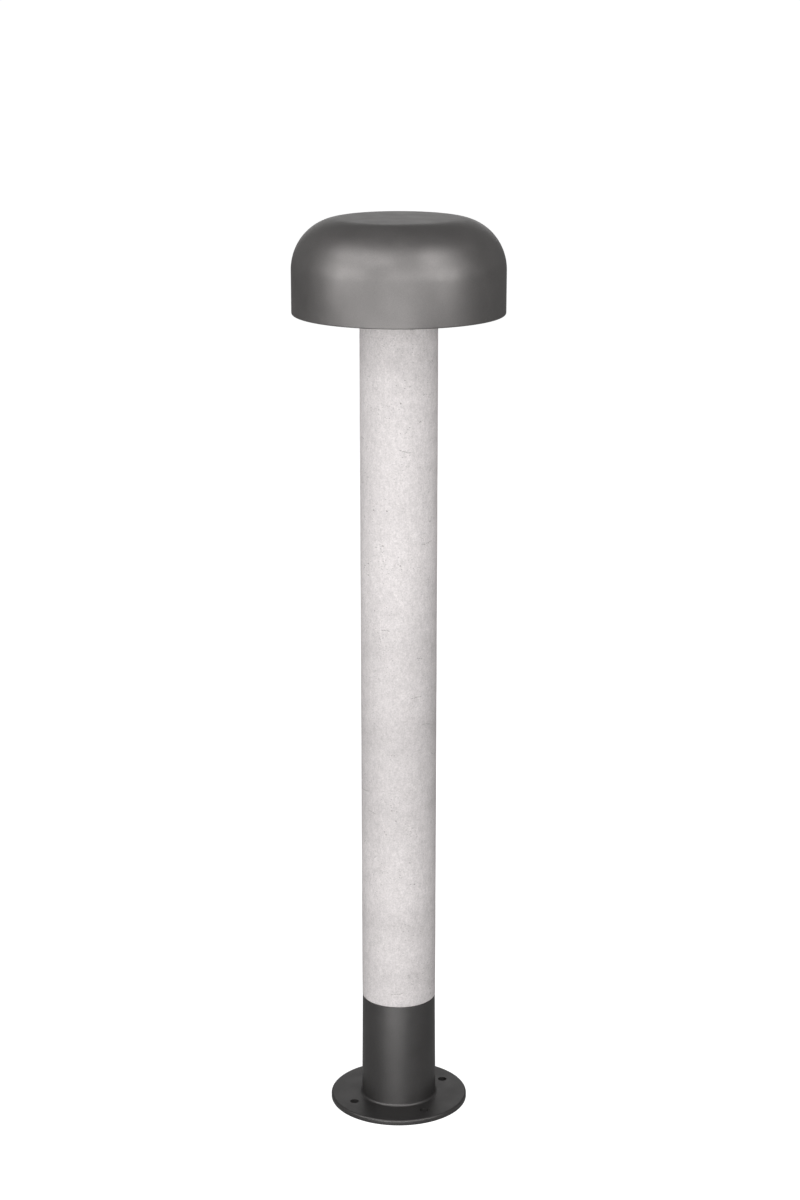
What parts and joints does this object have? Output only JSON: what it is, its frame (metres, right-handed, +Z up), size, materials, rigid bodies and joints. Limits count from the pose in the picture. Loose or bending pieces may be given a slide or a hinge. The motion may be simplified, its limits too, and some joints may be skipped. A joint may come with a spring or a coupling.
{
  "type": "bollard light",
  "caption": "Garden bollard light: a dark coated mushroom head with an opal ring beneath, on a round concrete column and a cast foot with a drilled round flange.",
  "frame": {"origin": "centre of the foot flange's underside, where the light stands on the ground", "axes": "+Z up along the column, the dome at the top; the anchor holes lie on the diagonals between X and Y"},
  "size_m": [0.2024, 0.2024, 0.9],
  "materials": {
    "head_coat": "satin",
    "foot_coat": "satin",
    "concrete": "matte",
    "opal": "satin",
    "white_plastic": "satin",
    "black_plastic": "satin",
    "board_mask": "satin",
    "phosphor": "gloss",
    "aluminium": "satin",
    "galvanised": "satin",
    "stainless": "satin",
    "rubber": "matte",
    "earth_green": "satin"
  },
  "bodies": {
    "root": {"board_screw_1": "stainless", "board_screw_2": "stainless", "board_screw_3": "stainless", "concrete_sleeve": "concrete", "connector_body": "black_plastic", "connector_inlet_nut": "black_plastic", "connector_upper_nut": "black_plastic", "core_tube": "galvanised", "diffuser": "opal", "diffuser_post_1": "stainless", "diffuser_post_2": "stainless", "diffuser_post_3": "stainless", "diffuser_screw_1": "stainless", "diffuser_screw_2": "stainless", "diffuser_screw_3": "stainless", "driver_input_lead": "black_plastic", "driver_output_lead": "black_plastic", "driver_screw_1": "stainless", "driver_screw_2": "stainless", "earth_lead": "earth_green", "earth_screw": "stainless", "foot_casting": "foot_coat", "foot_gasket": "rubber", "foot_lock_nut": "galvanised", "foot_washer": "galvanised", "gear_tray": "aluminium", "head_shell": "head_coat", "inner_diffuser_gasket": "rubber", "inner_reflector": "white_plastic", "internal_cable": "rubber", "led_01": "phosphor", "led_02": "phosphor", "led_03": "phosphor", "led_04": "phosphor", "led_05": "phosphor", "led_06": "phosphor", "led_07": "phosphor", "led_08": "phosphor", "led_09": "phosphor", "led_10": "phosphor", "led_11": "phosphor", "led_12": "phosphor", "led_board": "board_mask", "led_driver": "white_plastic", "neck_flange": "foot_coat", "neck_gasket": "rubber", "neck_lock_nut": "galvanised", "neck_screw_1": "stainless", "neck_screw_2": "stainless", "neck_screw_3": "stainless", "neck_washer": "galvanised", "outer_diffuser_gasket": "rubber", "outer_reflector": "white_plastic", "terminal_block": "white_plastic", "tray_screw_1": "stainless", "tray_screw_2": "stainless", "tray_screw_3": "stainless", "tube_grommet": "rubber"}
  },
  "joints": []
}
